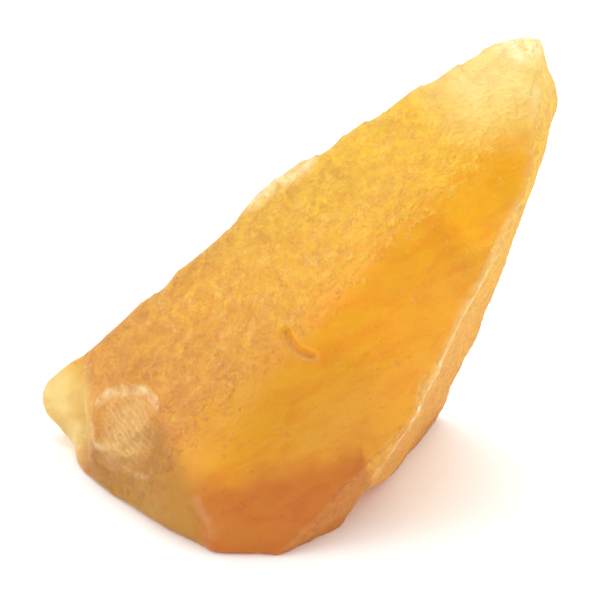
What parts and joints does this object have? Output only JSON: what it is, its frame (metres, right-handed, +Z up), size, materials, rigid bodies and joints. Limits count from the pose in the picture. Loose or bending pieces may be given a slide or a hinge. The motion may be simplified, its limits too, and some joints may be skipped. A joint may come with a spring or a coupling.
{
  "type": "fluorite specimen",
  "caption": "Rough lump of cloudy amber crystal with flat cleavage faces, ledges and shell-shaped chips, leaning up to a blunt point; it stands on a flat base.",
  "frame": {"origin": "on the ground, under the centre of the bounding box", "axes": "+X from the low left end towards the overhanging point, +Y from the broad front face to the back, +Z up"},
  "size_m": [0.0678, 0.0374, 0.0609],
  "materials": {
    "cloudy_fluorite": "cloudy, see-through amber crystal with satin, lightly etched faces"
  },
  "bodies": {
    "root": {"crystal": "cloudy_fluorite"}
  },
  "joints": []
}
